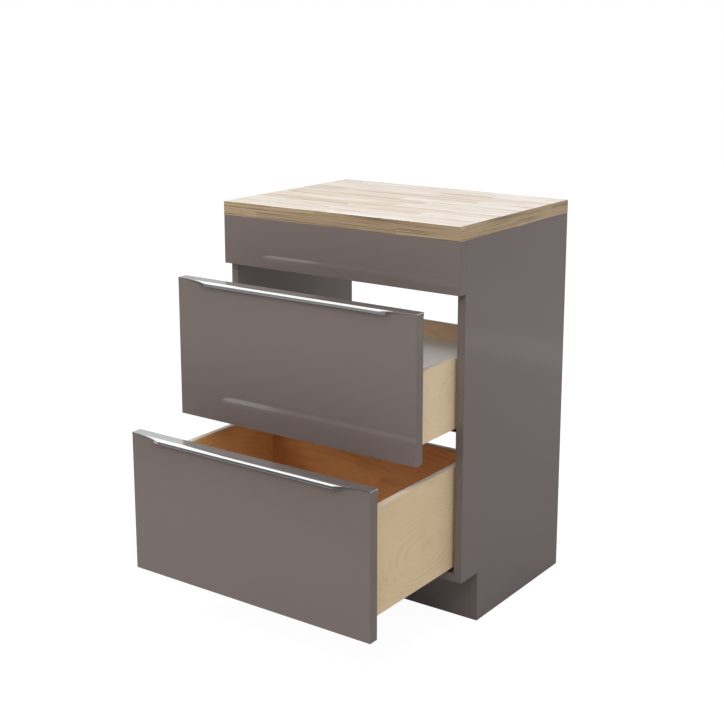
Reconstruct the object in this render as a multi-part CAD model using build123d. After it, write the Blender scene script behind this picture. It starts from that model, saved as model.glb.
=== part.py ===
"""Freestanding vanity unit with a stave worktop and two drawers on undermount runners.

Millimetres, +Z up, +X to the right seen from the front, +Y towards the wall, floor at Z = 0.
The pieces are laid out with Y = 0 on the fascia's face, both drawers standing part-way out, and are
moved as they are written so that the origin lies on the floor under the middle of the whole unit.
"""
import math
import os

from build123d import *

# Whole unit, and how far each front stands out from the fascia's face
unit_width = 600.0
unit_depth = 450.0
unit_height = 850.0
upper_opening = 150.0
lower_opening = 300.0

# Carcass boards
worktop_thickness = 30.0
carcass_board = 18.0
front_board = 22.0
kick_board = 16.0
fascia_height = 107.0
plinth_height = 108.0
plinth_setback = 67.0
front_rail_height = 85.0
back_rail_height = 100.0
base_rail_height = 80.0
carcass_arris = 0.6
worktop_arris = 1.5
front_arris = 0.8

# Gaps between the fronts, and at their ends
fascia_gap = 7.0
front_gap = 3.0
front_end_gap = 0.5
bumper_thickness = 2.0
bumper_radius = 4.0
bumper_inset = 30.0
closing_slack = 0.2

# Drawer boxes
box_wall = 14.0
box_side_gap = 5.0
box_back_gap = 8.0
upper_box_height = 147.0
lower_box_height = 217.0
upper_box_rise = 25.0
upper_floor_depth = 37.0
floor_board = 6.0
groove_depth = 6.0
groove_slack = 0.2
rim_radius = 2.5
batten_width = 70.0
batten_height = 18.0

# Aluminium pull along the top edge of each front
pull_sheet = 1.6
pull_reach = 9.0
pull_crown = 3.3
pull_nose_height = 5.9
pull_nose_width = 2.6
pull_sweep = 80.0
pull_sweep_corner = 6.0
pull_end_reach = 0.5
pull_flange = 8.0

# Runner sections, measured from the carcass side and from the lower edge of the box side
runner_sheet = 1.5
runner_recess = 13.0
runner_side_gap = 2.0
runner_width = 37.0
runner_lip = 2.5
runner_drop = 10.0
runner_web = 32.0
runner_base_gap = 1.0
channel_rise = 0.5
cap_leg_foot = 2.0
slide_flange = 2.0
slide_slack = 0.4
slide_setback = 3.0
runner_end_gap = 1.5
roller_slack = 0.25
roller_end_gap = 2.0
roller_first = 20.0
roller_pitch = 45.0
roller_count = 4
hook_rise = 7.0
hook_radius = 2.8
hook_length = 9.0
hook_tab_width = 12.0
catch_width = 22.0
catch_length = 46.0
catch_height = 10.0
catch_lever = 16.0
catch_lever_drop = 6.0

# Dowels, cam fittings, angle brackets and screws
fit_slack = 0.1
cut_margin = 2.0
end_slack = 0.5
dowel_radius = 4.0
dowel_length = 30.0
dowel_in_side = 12.0
dowel_inset = 30.0
rail_pin_offset = 15.0
box_dowel_radius = 3.0
box_dowel_length = 25.0
box_dowel_in_wall = 9.0
box_dowel_rise = 45.0
box_dowel_drop = 18.0
cam_radius = 7.5
cam_depth = 13.2
cam_setback = 24.0
cam_inset = 62.0
cam_slot_width = 2.0
cam_slot_depth = 2.0
bolt_radius = 3.0
bolt_neck_radius = 2.0
bolt_head = 3.0
bolt_thread_radius = 2.5
bolt_thread = 11.0
bolt_bore_radius = 3.6
bracket_leg = 25.0
bracket_sheet = 2.0
bracket_width = 20.0
bracket_inset = 110.0
screw_radius = 2.0
screw_head_radius = 4.0
screw_head = 2.4
screw_bite = 12.0
fascia_screw_inset = 110.0
front_screw_inset = 80.0
front_screw_rise = 60.0
front_screw_drop = 19.0
flange_screw_radius = 1.3
flange_screw_head_radius = 2.4
flange_screw_head = 1.2
flange_screw_bite = 9.0
flange_screw_inset = 90.0
runner_screw_head_radius = 3.4
runner_screw_head = 1.8
runner_screw_level = 17.0
runner_screw_inset = 45.0
wall_hole_radius = 2.75
wall_hole_inset = 82.0

# Lines that everything else is placed from
half_width = unit_width / 2
inner_half = half_width - carcass_board
carcass_top = unit_height - worktop_thickness
carcass_front = front_board
back_rail_front = unit_depth - carcass_board
kick_front = carcass_front + plinth_setback
deck_top = plinth_height + carcass_board
front_height = (carcass_top - fascia_height - fascia_gap - front_gap - plinth_height) / 2
closed_stand_off = bumper_thickness + closing_slack
box_outer = inner_half - box_side_gap
box_inner = box_outer - box_wall
box_start = front_board
box_end = back_rail_front - box_back_gap + closed_stand_off
runner_front = box_start + box_wall - closed_stand_off + runner_end_gap
runner_back = box_end - closed_stand_off
runner_outer = box_inner - runner_side_gap
runner_inner = runner_outer - runner_width
cap_top = runner_recess
lower_box_base = deck_top + runner_base_gap + runner_drop
upper_front_base = plinth_height + front_height + front_gap
upper_box_base = upper_front_base + upper_box_rise
middle_y = (unit_depth - lower_opening - pull_reach) / 2

RIGHT = 1
LEFT = -1
SIDES = {"left": LEFT, "right": RIGHT}


def block(x, y, z):
    """A plain box between the two limits given on each axis."""
    size = Box(x[1] - x[0], y[1] - y[0], z[1] - z[0])
    return Pos(sum(x) / 2, sum(y) / 2, sum(z) / 2) * size


def board(x, y, z, arris=carcass_arris):
    """A board with its arrises taken off."""
    plain = block(x, y, z)
    return chamfer(plain.edges(), arris)


def rod(start, direction, radius, length):
    """A round bar from a point, along a direction."""
    bar = Cylinder(radius, length, align=(Align.CENTER, Align.CENTER, Align.MIN))
    return Plane(origin=start, z_dir=direction) * bar


def turned(start, direction, outline):
    """A turned piece: its outline is given as radius and distance along the direction."""
    half = make_face(Polyline(*outline, close=True))
    solid = revolve(Plane.XZ * half, axis=Axis.Z)
    return Plane(origin=start, z_dir=direction) * solid


def screw(seat, direction, length, radius=screw_radius, head_radius=screw_head_radius, head=screw_head):
    """A pan-head screw whose head sits on the seat."""
    outline = [
        (0, -head),
        (head_radius - head / 2, -head),
        (head_radius, -head / 2),
        (head_radius, 0),
        (radius, 0),
        (radius, length - 2 * radius),
        (0, length),
    ]
    return turned(seat, direction, outline)


def screw_hole(seat, direction, length, radius=screw_radius):
    """The hole that such a screw's shank fills."""
    return rod(seat, direction, radius + fit_slack, length + end_slack)


def along_y(outline, start, end):
    """A section of points in X and Z, run from one Y to another."""
    face = make_face(Polyline(*outline, close=True))
    return extrude(Pos(0, start, 0) * (Plane.XZ * face), end - start, dir=(0, 1, 0))


def both_sides(piece):
    """A right-hand piece and its mirror image."""
    return [piece, mirror(piece, about=Plane.YZ)]


# Where the carcass boards are pinned and cammed to the two sides: Y, Z and, for a cam, its open face
front_rail_y = carcass_front + carcass_board / 2
back_rail_y = back_rail_front + carcass_board / 2
front_rail_z = (carcass_top - front_rail_height, carcass_top)
back_rail_z = (carcass_top - back_rail_height, carcass_top)
base_rail_z = (deck_top, deck_top + base_rail_height)
deck_z = plinth_height + carcass_board / 2
kick_y = (kick_front, kick_front + kick_board)
UP = (0, 0, 1)
DOWN = (0, 0, -1)
TO_WALL = (0, 1, 0)
TO_ROOM = (0, -1, 0)

dowel_sites = {
    "bottom_panel": [(carcass_front + dowel_inset, deck_z), (unit_depth - dowel_inset, deck_z)],
    "front_top_rail": [(front_rail_y, sum(front_rail_z) / 2 + rail_pin_offset)],
    "back_top_rail": [(back_rail_y, sum(back_rail_z) / 2 + rail_pin_offset)],
    "back_base_rail": [(back_rail_y, sum(base_rail_z) / 2 + rail_pin_offset)],
    "toe_kick_board": [
        (sum(kick_y) / 2, dowel_inset),
        (sum(kick_y) / 2, plinth_height - dowel_inset),
    ],
}
cam_sites = {
    "bottom_panel": [
        (carcass_front + plinth_setback + cam_inset, deck_z, DOWN),
        (unit_depth - cam_inset, deck_z, DOWN),
    ],
    "front_top_rail": [(front_rail_y, sum(front_rail_z) / 2 - rail_pin_offset, TO_WALL)],
    "back_top_rail": [(back_rail_y, sum(back_rail_z) / 2 - rail_pin_offset, TO_ROOM)],
    "back_base_rail": [(back_rail_y, sum(base_rail_z) / 2 - rail_pin_offset, TO_ROOM)],
}


def cam_face(side, y, z, normal):
    """The middle of a cam's open face on its board."""
    reach = carcass_board / 2
    return (side * (inner_half - cam_setback), y + normal[1] * reach, z + normal[2] * reach)


def into_board(normal):
    """The way from an open face into its board."""
    return tuple(-part for part in normal)


def drill_board(piece, name):
    """A carcass board with the bores for its dowels, bolts and cams."""
    for side in SIDES.values():
        inwards = (-side, 0, 0)
        for y, z in dowel_sites.get(name, []):
            depth = dowel_length - dowel_in_side + end_slack
            piece -= rod((side * inner_half, y, z), inwards, dowel_radius + fit_slack, depth)
        for y, z, normal in cam_sites.get(name, []):
            piece -= rod((side * inner_half, y, z), inwards, bolt_bore_radius, cam_setback)
            pocket = cam_depth + end_slack
            piece -= rod(cam_face(side, y, z, normal), into_board(normal), cam_radius + fit_slack, pocket)
    return piece


def drill_side(piece, side):
    """A side panel with the bores that face the boards, brackets and runners."""
    outwards = (side, 0, 0)
    for sites in dowel_sites.values():
        for y, z in sites:
            seat = (side * inner_half, y, z)
            piece -= rod(seat, outwards, dowel_radius + fit_slack, dowel_in_side + end_slack)
    for sites in cam_sites.values():
        for y, z, _ in sites:
            seat = (side * inner_half, y, z)
            piece -= rod(seat, outwards, bolt_thread_radius + fit_slack, bolt_thread + end_slack)
    for y in bracket_places:
        seat = (side * inner_half, y, carcass_top - bracket_leg / 2)
        piece -= screw_hole(seat, outwards, screw_bite)
    for base in (upper_box_base, lower_box_base):
        for y in runner_screw_places:
            seat = (side * inner_half, y, base + runner_screw_level)
            piece -= screw_hole(seat, outwards, screw_bite)
    return piece


bracket_places = [carcass_front + bracket_inset, unit_depth - bracket_inset]
runner_screw_places = [
    runner_front + runner_screw_inset,
    (runner_front + runner_back) / 2,
    runner_back - runner_screw_inset,
]


def side_panel(side):
    """A carcass side, standing on the floor, with its toe notch."""
    outline = Polyline(
        (carcass_front, plinth_height),
        (kick_front, plinth_height),
        (kick_front, 0),
        (unit_depth, 0),
        (unit_depth, carcass_top),
        (carcass_front, carcass_top),
        close=True,
    )
    face = Plane.YZ.offset(inner_half) * make_face(outline)
    panel = extrude(face, carcass_board, dir=(1, 0, 0))
    panel = chamfer(panel.edges(), carcass_arris)
    if side == LEFT:
        panel = mirror(panel, about=Plane.YZ)
    return drill_side(panel, side)


def worktop():
    """The solid stave top, flush with the fascia, the sides and the back."""
    top = block((-half_width, half_width), (0, unit_depth), (carcass_top, unit_height))
    top = fillet(top.edges().group_by(Axis.Z)[-1], worktop_arris)
    for side in SIDES.values():
        for y in bracket_places:
            seat = (side * (inner_half - bracket_leg / 2), y, carcass_top)
            top -= screw_hole(seat, UP, screw_bite)
    return top


def fascia_screw_seats():
    """Where the fascia's screws sit, on the inner face of the front top rail."""
    level = sum(front_rail_z) / 2
    places = (-inner_half + fascia_screw_inset, inner_half - fascia_screw_inset)
    return [(x, carcass_front + carcass_board, level) for x in places]


def carcass_pieces():
    """The boards of the carcass, with the fascia and worktop."""
    across = (-inner_half, inner_half)
    front_y = (carcass_front, carcass_front + carcass_board)
    back_y = (back_rail_front, unit_depth)
    boards = {
        "bottom_panel": board(across, (carcass_front, unit_depth), (plinth_height, deck_top)),
        "toe_kick_board": board(across, kick_y, (0, plinth_height)),
        "front_top_rail": board(across, front_y, front_rail_z),
        "back_top_rail": board(across, back_y, back_rail_z),
        "back_base_rail": board(across, back_y, base_rail_z),
    }
    pieces = {name: drill_board(piece, name) for name, piece in boards.items()}
    for side_name, side in SIDES.items():
        pieces[f"{side_name}_side_panel"] = side_panel(side)
    fascia = block((-half_width, half_width), (0, front_board), (carcass_top - fascia_height, carcass_top))
    fascia = fillet(fascia.edges().group_by(Axis.Y)[0], front_arris)
    for seat in fascia_screw_seats():
        length = carcass_board + screw_bite
        fascia -= screw_hole(seat, TO_ROOM, length)
        pieces["front_top_rail"] -= screw_hole(seat, TO_ROOM, length)
    pieces["front_fascia"] = fascia
    for x in (-inner_half + wall_hole_inset, inner_half - wall_hole_inset):
        bore = (x, back_rail_front, sum(back_rail_z) / 2)
        pieces["back_top_rail"] -= rod(bore, TO_WALL, wall_hole_radius, carcass_board)
    pieces["worktop"] = worktop()
    return pieces


def cam_bolt(side, y, z):
    """A bolt screwed into a side panel, with the neck and head that a cam draws in."""
    shank = cam_setback - bolt_head - cam_radius / 2
    outline = [
        (0, -bolt_thread),
        (bolt_thread_radius, -bolt_thread),
        (bolt_thread_radius, 0),
        (bolt_radius, 0),
        (bolt_radius, shank),
        (bolt_neck_radius, shank),
        (bolt_neck_radius, cam_setback - bolt_head / 2),
        (bolt_radius, cam_setback - bolt_head / 2),
        (bolt_radius, cam_setback + bolt_head / 2),
        (0, cam_setback + bolt_head / 2),
    ]
    return turned((side * inner_half, y, z), (-side, 0, 0), outline)


def cam(side, y, z, normal):
    """A turning cam in its board: a slotted drum with a mouth for its bolt's head."""
    face = cam_face(side, y, z, normal)
    drum = rod(face, into_board(normal), cam_radius, cam_depth)
    mouth = bolt_head / 2 + bolt_radius
    drum -= rod((side * inner_half, y, z), (-side, 0, 0), bolt_bore_radius, cam_setback + mouth)
    slot = block((-cam_radius, cam_radius), (-cam_slot_width / 2, cam_slot_width / 2), (-cam_slot_depth, 0))
    return drum - Plane(origin=face, x_dir=(1, 0, 0), z_dir=normal) * slot


def bracket(y):
    """A pressed angle between a side panel and the worktop, on the right."""
    corner = inner_half
    outline = [
        (corner, carcass_top),
        (corner - bracket_leg, carcass_top),
        (corner - bracket_leg, carcass_top - bracket_sheet),
        (corner - bracket_sheet, carcass_top - bracket_sheet),
        (corner - bracket_sheet, carcass_top - bracket_leg),
        (corner, carcass_top - bracket_leg),
    ]
    angle = along_y(outline, y - bracket_width / 2, y + bracket_width / 2)
    bore = screw_radius + fit_slack
    angle -= rod((corner, y, carcass_top - bracket_leg / 2), (-1, 0, 0), bore, bracket_leg)
    angle -= rod((corner - bracket_leg / 2, y, carcass_top), DOWN, bore, bracket_leg)
    return angle


def bracket_screws(y):
    """The two screws of a right-hand bracket."""
    mid_leg = bracket_leg / 2
    in_side = (inner_half - bracket_sheet, y, carcass_top - mid_leg)
    in_top = (inner_half - mid_leg, y, carcass_top - bracket_sheet)
    return [screw(in_side, (1, 0, 0), screw_bite), screw(in_top, UP, screw_bite)]


def carcass_fixings():
    """The dowels, cams, bolts, brackets and screws of the carcass, each kind a group."""
    dowels, cams, bolts, brackets, angle_screws = [], [], [], [], []
    for side in SIDES.values():
        for sites in dowel_sites.values():
            for y, z in sites:
                start = (side * (inner_half + dowel_in_side), y, z)
                dowels.append(rod(start, (-side, 0, 0), dowel_radius, dowel_length))
        for sites in cam_sites.values():
            for y, z, normal in sites:
                cams.append(cam(side, y, z, normal))
                bolts.append(cam_bolt(side, y, z))
    for y in bracket_places:
        brackets += both_sides(bracket(y))
        for piece in bracket_screws(y):
            angle_screws += both_sides(piece)
    length = carcass_board + screw_bite
    fascia_screws = [screw(seat, TO_ROOM, length) for seat in fascia_screw_seats()]
    return {
        "carcass_dowels": dowels,
        "cam_fittings": cams,
        "cam_bolts": bolts,
        "worktop_brackets": brackets,
        "worktop_bracket_screws": angle_screws,
        "fascia_screws": fascia_screws,
    }


def cabinet_runner(base):
    """The fixed member on the right: a web on the carcass side, and a lipped channel beside it."""
    floor = base - runner_drop
    top = base + channel_rise
    sheet = runner_sheet
    outline = [
        (inner_half, floor),
        (inner_half, floor + runner_web),
        (inner_half - sheet, floor + runner_web),
        (inner_half - sheet, floor + sheet),
        (runner_outer, floor + sheet),
        (runner_outer, top),
        (runner_outer - sheet - runner_lip, top),
        (runner_outer - sheet - runner_lip, top - sheet),
        (runner_outer - sheet, top - sheet),
        (runner_outer - sheet, floor + sheet),
        (runner_inner + sheet, floor + sheet),
        (runner_inner + sheet, top - sheet),
        (runner_inner + sheet + runner_lip, top - sheet),
        (runner_inner + sheet + runner_lip, top),
        (runner_inner, top),
        (runner_inner, floor),
    ]
    member = along_y(outline, runner_front, runner_back)
    for y in runner_screw_places:
        seat = (inner_half - sheet, y, base + runner_screw_level)
        member -= screw_hole(seat, (1, 0, 0), screw_bite)
    return member


def runner_screws(base):
    """The screws that hold a right-hand fixed member to the carcass side."""
    screws = []
    for y in runner_screw_places:
        seat = (inner_half - runner_sheet, y, base + runner_screw_level)
        fixing = screw(
            seat,
            (1, 0, 0),
            screw_bite,
            head_radius=runner_screw_head_radius,
            head=runner_screw_head,
        )
        screws.append(fixing)
    return screws


def slide_levels(base):
    """Lower and upper flange levels of the middle member, under and over the lips that hold it."""
    low_top = base + channel_rise - runner_sheet - slide_slack
    high_foot = base + cap_leg_foot + runner_sheet + slide_slack
    return (low_top - slide_flange, low_top), (high_foot, high_foot + slide_flange)


def slide_span(travel):
    """Front and back of a middle member, moved out by half of its drawer's travel."""
    return runner_front + slide_setback - travel / 2, runner_back - slide_setback - travel / 2


def slide_member(base, travel):
    """The middle member on the right: two flanges on a pair of webs."""
    low, high = slide_levels(base)
    wide = (runner_inner + runner_sheet + slide_slack, runner_outer - runner_sheet - slide_slack)
    web_reach = runner_lip + slide_slack
    front, back = slide_span(travel)
    length = (front, back)
    member = block(wide, length, low) + block(wide, length, high)
    for edge, way in ((wide[0], 1), (wide[1], -1)):
        near = edge + way * web_reach
        web = sorted((near, near + way * runner_sheet))
        member += block(web, length, (low[1], high[0]))
    return member


def rollers(base, travel):
    """The rollers of a right-hand runner: under the middle member at its back, over it at its front."""
    low, high = slide_levels(base)
    floor = base - runner_drop + runner_sheet
    cap = base + cap_top - runner_sheet
    front, back = slide_span(travel)
    across = runner_inner + runner_sheet + roller_end_gap
    length = runner_width - 2 * (runner_sheet + roller_end_gap)
    turned_rollers = []
    for count in range(roller_count):
        step = roller_first + count * roller_pitch
        for y, foot, head in ((back - step, floor, low[0]), (front + step, high[1], cap)):
            radius = (head - foot) / 2 - roller_slack
            turned_rollers.append(rod((across, y, (foot + head) / 2), (1, 0, 0), radius, length))
    return turned_rollers


def drawer_runner(base):
    """The drawer's member on the right: a lipped cap with a hook behind the box back."""
    top = base + cap_top
    foot = base + cap_leg_foot
    sheet = runner_sheet
    outline = [
        (runner_outer, top),
        (runner_outer, foot),
        (runner_outer - sheet - runner_lip, foot),
        (runner_outer - sheet - runner_lip, foot + sheet),
        (runner_outer - sheet, foot + sheet),
        (runner_outer - sheet, top - sheet),
        (runner_inner + sheet, top - sheet),
        (runner_inner + sheet, foot + sheet),
        (runner_inner + sheet + runner_lip, foot + sheet),
        (runner_inner + sheet + runner_lip, foot),
        (runner_inner, foot),
        (runner_inner, top),
    ]
    member = along_y(outline, box_start + box_wall, box_end)
    middle = (runner_outer + runner_inner) / 2
    tab_x = (middle - hook_tab_width / 2, middle + hook_tab_width / 2)
    hook_z = hook_level(base)
    member += block(tab_x, (box_end, box_end + sheet), (top - sheet, hook_z + hook_radius + sheet))
    member += rod((middle, box_end, hook_z), TO_ROOM, hook_radius, hook_length)
    return member


def hook_level(base):
    """The height of the hook that holds the back of a drawer down."""
    return base + runner_recess + floor_board + hook_rise + hook_radius


def catch(base):
    """A front catch on the right: a block under the drawer with a thumb lever on its inner side."""
    top = base + cap_top
    start = box_start + box_wall
    x = (runner_inner - catch_width, runner_inner)
    body = block(x, (start, start + catch_length), (top - catch_height, top))
    body = fillet(body.edges().filter_by(Axis.X).group_by(Axis.Y)[-1].group_by(Axis.Z)[0], catch_height / 2)
    lever_x = (x[0] - catch_lever, x[0])
    lever_y = (start + catch_lever_drop, start + catch_lever)
    lever = block(lever_x, lever_y, (top - catch_height, top - catch_lever_drop))
    lever = fillet(lever.edges().filter_by(Axis.Z).group_by(Axis.X)[0], catch_lever_drop / 2)
    return body + lever


def pull_section(top):
    """The pull's section in Y and Z: rear flange, top strip, curved lip and rounded nose."""
    back = front_board
    radius = (pull_reach**2 + pull_crown**2) / (2 * pull_crown)
    sweep = math.asin(pull_reach / radius)
    inner = radius - pull_sheet
    nose_back = -pull_reach + pull_nose_width
    inner_at_nose = -radius + math.sqrt(inner**2 - nose_back**2)
    nose_foot = -pull_crown - pull_nose_height
    half_nose = pull_nose_width / 2
    mid_outer = (-radius * math.sin(sweep / 2), -radius + radius * math.cos(sweep / 2))
    mid_angle = math.asin(-nose_back / inner) / 2
    mid_inner = (-inner * math.sin(mid_angle), -radius + inner * math.cos(mid_angle))
    edges = [
        Line((back, -pull_flange), (back + pull_sheet, -pull_flange)),
        Line((back + pull_sheet, -pull_flange), (back + pull_sheet, 0)),
        Line((back + pull_sheet, 0), (0, 0)),
        ThreePointArc((0, 0), mid_outer, (-pull_reach, -pull_crown)),
        Line((-pull_reach, -pull_crown), (-pull_reach, nose_foot + half_nose)),
        ThreePointArc(
            (-pull_reach, nose_foot + half_nose),
            (-pull_reach + half_nose, nose_foot),
            (nose_back, nose_foot + half_nose),
        ),
        Line((nose_back, nose_foot + half_nose), (nose_back, inner_at_nose)),
        ThreePointArc((nose_back, inner_at_nose), mid_inner, (0, -pull_sheet)),
        Line((0, -pull_sheet), (back, -pull_sheet)),
        Line((back, -pull_sheet), (back, -pull_flange)),
    ]
    return Plane.YZ * (Pos(0, top) * make_face(edges))


def pull_plan(half_length):
    """The room the pull fills seen from above: its lip sweeps back to the front's face at both ends."""
    back = front_board + pull_sheet + cut_margin
    end = half_length + cut_margin
    straight = half_length - pull_sweep
    fall = pull_reach - pull_end_reach
    radius = (pull_sweep**2 + fall**2) / (2 * fall)
    turn = math.asin(pull_sweep / radius) / 2
    bulge_x = half_length - radius * math.sin(turn)
    bulge_y = -pull_end_reach - radius + radius * math.cos(turn)
    edges = [
        Line((-end, back), (end, back)),
        Line((end, back), (end, -pull_end_reach)),
        Line((end, -pull_end_reach), (half_length, -pull_end_reach)),
        ThreePointArc((half_length, -pull_end_reach), (bulge_x, bulge_y), (straight, -pull_reach)),
        Line((straight, -pull_reach), (-straight, -pull_reach)),
        ThreePointArc((-straight, -pull_reach), (-bulge_x, bulge_y), (-half_length, -pull_end_reach)),
        Line((-half_length, -pull_end_reach), (-end, -pull_end_reach)),
        Line((-end, -pull_end_reach), (-end, back)),
    ]
    plan = make_face(edges)
    corners = [v for v in plan.vertices() if abs(v.Y + pull_reach) < fit_slack]
    return fillet(corners, pull_sweep_corner)


def flange_screw_seats(top):
    """Where the pull's screws sit on its rear flange."""
    end = half_width - front_end_gap - flange_screw_inset
    level = top - (pull_sheet + pull_flange) / 2
    return [(x, front_board + pull_sheet, level) for x in (-end, 0, end)]


def pull(top):
    """The aluminium edge pull that caps a front."""
    half_length = half_width - front_end_gap
    strip = extrude(pull_section(top), half_length, both=True)
    depth = pull_crown + pull_nose_height + pull_flange
    strip &= Pos(0, 0, top - depth) * extrude(pull_plan(half_length), depth + cut_margin)
    for seat in flange_screw_seats(top):
        strip -= screw_hole(seat, TO_ROOM, flange_screw_bite, radius=flange_screw_radius)
    return strip


def front_screw_seats(base, rim):
    """Where a front's screws sit, inside the box's inner front."""
    x = box_inner - front_screw_inset
    y = box_start + box_wall
    levels = (base + front_screw_rise, rim - front_screw_drop)
    return [(side * x, y, z) for side in SIDES.values() for z in levels]


def bumper_seats(low, high):
    """Where the bumpers sit on the back of a front, facing the edges of the carcass sides."""
    x = half_width - carcass_board / 2
    levels = (low + bumper_inset, high - bumper_inset)
    return [(side * x, front_board, z) for side in SIDES.values() for z in levels]


def drawer_front(low, high, base, rim):
    """A lacquered front, under its pull."""
    half_length = half_width - front_end_gap
    panel = block((-half_length, half_length), (0, front_board), (low, high - pull_sheet))
    panel = fillet(panel.edges().group_by(Axis.Y)[0].filter_by(Axis.Z), front_arris)
    for seat in front_screw_seats(base, rim):
        panel -= screw_hole(seat, TO_ROOM, box_wall + screw_bite)
    for seat in flange_screw_seats(high):
        panel -= screw_hole(seat, TO_ROOM, flange_screw_bite, radius=flange_screw_radius)
    return panel


def box_dowel_sites(base, rim):
    """Where dowels pin the inner front and the back between the walls: Y and Z, on each side."""
    places = (box_start + box_wall / 2, box_end - box_wall / 2)
    levels = (base + box_dowel_rise, rim - box_dowel_drop)
    return [(y, z) for y in places for z in levels]


def box_dowels(base, rim):
    """The dowels of one drawer box."""
    start = box_inner + box_dowel_in_wall
    pins = [
        rod((start, y, z), (-1, 0, 0), box_dowel_radius, box_dowel_length)
        for y, z in box_dowel_sites(base, rim)
    ]
    return [part for pin in pins for part in both_sides(pin)]


def box_dowel_bores(base, rim):
    """The bores that take the dowels of one drawer box, on the right, a little longer at both ends."""
    start = box_inner + box_dowel_in_wall + end_slack
    length = box_dowel_length + 2 * end_slack
    radius = box_dowel_radius + fit_slack
    return [rod((start, y, z), (-1, 0, 0), radius, length) for y, z in box_dowel_sites(base, rim)]


def box_pieces(name, base, height, floor_foot, floor_end, back_foot):
    """The walls and floor of a drawer box; the floor lies in grooves."""
    rim = base + height
    floor_z = (floor_foot, floor_foot + floor_board)
    groove_z = (floor_foot - groove_slack, floor_foot + floor_board + groove_slack)
    front_y = (box_start, box_start + box_wall)
    back_y = (box_end - box_wall, box_end)
    across = (-box_inner, box_inner)
    floor_half = box_inner + groove_depth - groove_slack
    floor_start = front_y[1] - groove_depth + groove_slack
    groove_half = box_inner + groove_depth
    groove_y = (front_y[1] - groove_depth, floor_end + groove_slack)
    groove = block((-groove_half, groove_half), groove_y, groove_z)

    wall = block((box_inner, box_outer), (box_start, box_end), (base, rim))
    wall = fillet(wall.edges().filter_by(Axis.Y).group_by(Axis.Z)[-1], rim_radius)
    wall -= groove
    inner_front = block(across, front_y, (base, rim))
    inner_front = fillet(inner_front.edges().filter_by(Axis.X).group_by(Axis.Z)[-1], rim_radius)
    inner_front -= groove
    for seat in front_screw_seats(base, rim):
        inner_front -= screw_hole(seat, TO_ROOM, box_wall)
    back = block(across, back_y, (back_foot, rim))
    back = fillet(back.edges().filter_by(Axis.X).group_by(Axis.Z)[-1], rim_radius)
    back -= groove
    hook_x = (runner_outer + runner_inner) / 2
    for side in SIDES.values():
        mouth = (side * hook_x, box_end, hook_level(base))
        back -= rod(mouth, TO_ROOM, hook_radius + fit_slack, hook_length + end_slack)
    for bore in box_dowel_bores(base, rim):
        wall -= bore
        inner_front -= both_sides(bore)
        back -= both_sides(bore)
    return {
        f"{name}_left_wall": mirror(wall, about=Plane.YZ),
        f"{name}_right_wall": wall,
        f"{name}_inner_front": inner_front,
        f"{name}_back": back,
        f"{name}_dowels": box_dowels(base, rim),
        f"{name}_floor": block((-floor_half, floor_half), (floor_start, floor_end), floor_z),
    }


def drawer(name, opening, low, base, height):
    """One whole drawer with its front, pull, box, fixings and runner caps, moved to its opening."""
    high = low + front_height
    rim = base + height
    rest = base + runner_recess
    raised = name == "upper_drawer"
    floor_foot = rim - upper_floor_depth - floor_board if raised else rest
    floor_end = box_end - box_wall + groove_depth - groove_slack if raised else box_end
    back_foot = rest if raised else rest + floor_board
    pieces = box_pieces(name, base, height, floor_foot, floor_end, back_foot)
    if raised:
        batten_x = (box_inner - batten_width, box_inner)
        batten_y = (box_start + box_wall, box_end - box_wall)
        batten = board(batten_x, batten_y, (rest, rest + batten_height))
        pieces[f"{name}_battens"] = both_sides(batten)
    pieces[f"{name}_front"] = drawer_front(low, high, base, rim)
    pieces[f"{name}_pull"] = pull(high)
    pieces[f"{name}_pull_screws"] = [
        screw(
            seat,
            TO_ROOM,
            flange_screw_bite,
            radius=flange_screw_radius,
            head_radius=flange_screw_head_radius,
            head=flange_screw_head,
        )
        for seat in flange_screw_seats(high)
    ]
    pieces[f"{name}_front_screws"] = [
        screw(seat, TO_ROOM, box_wall + screw_bite) for seat in front_screw_seats(base, rim)
    ]
    pieces[f"{name}_bumpers"] = [
        rod(seat, TO_WALL, bumper_radius, bumper_thickness) for seat in bumper_seats(low, high)
    ]
    right, left = both_sides(drawer_runner(base))
    pieces[f"{name}_left_runner_cap"] = left
    pieces[f"{name}_right_runner_cap"] = right
    pieces[f"{name}_catches"] = both_sides(catch(base))
    moved = Pos(0, -opening, 0)
    return {key: [moved * part for part in as_list(piece)] for key, piece in pieces.items()}


def runner_pieces(name, opening, base):
    """The fixed and middle members of both of a drawer's runners, with their rollers."""
    travel = opening - closed_stand_off
    pieces = {}
    for label, member in (
        ("runner_channel", cabinet_runner(base)),
        ("runner_slide", slide_member(base, travel)),
    ):
        right, left = both_sides(member)
        pieces[f"{name}_left_{label}"] = left
        pieces[f"{name}_right_{label}"] = right
    pieces[f"{name}_runner_rollers"] = [
        part for roller in rollers(base, travel) for part in both_sides(roller)
    ]
    pieces[f"{name}_runner_screws"] = [
        part for fixing in runner_screws(base) for part in both_sides(fixing)
    ]
    return pieces


def as_list(piece):
    """A single piece or a group, always as a list."""
    return piece if isinstance(piece, list) else [piece]


def all_pieces():
    """Every node of the unit by name."""
    pieces = {}
    pieces.update(carcass_pieces())
    pieces.update(carcass_fixings())
    for name, opening, low, base, height in (
        ("upper_drawer", upper_opening, upper_front_base, upper_box_base, upper_box_height),
        ("lower_drawer", lower_opening, plinth_height, lower_box_base, lower_box_height),
    ):
        pieces.update(runner_pieces(name, opening, base))
        pieces.update(drawer(name, opening, low, base, height))
    return pieces


def write(pieces):
    """One STEP file for each node, in the unit's own frame."""
    os.makedirs("parts", exist_ok=True)
    to_frame = Pos(0, -middle_y, 0)
    for name, piece in pieces.items():
        solids = [to_frame * solid for part in as_list(piece) for solid in part.solids()]
        node = solids[0] if len(solids) == 1 else Compound(children=solids)
        export_step(node, f"parts/{name}.step")


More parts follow.
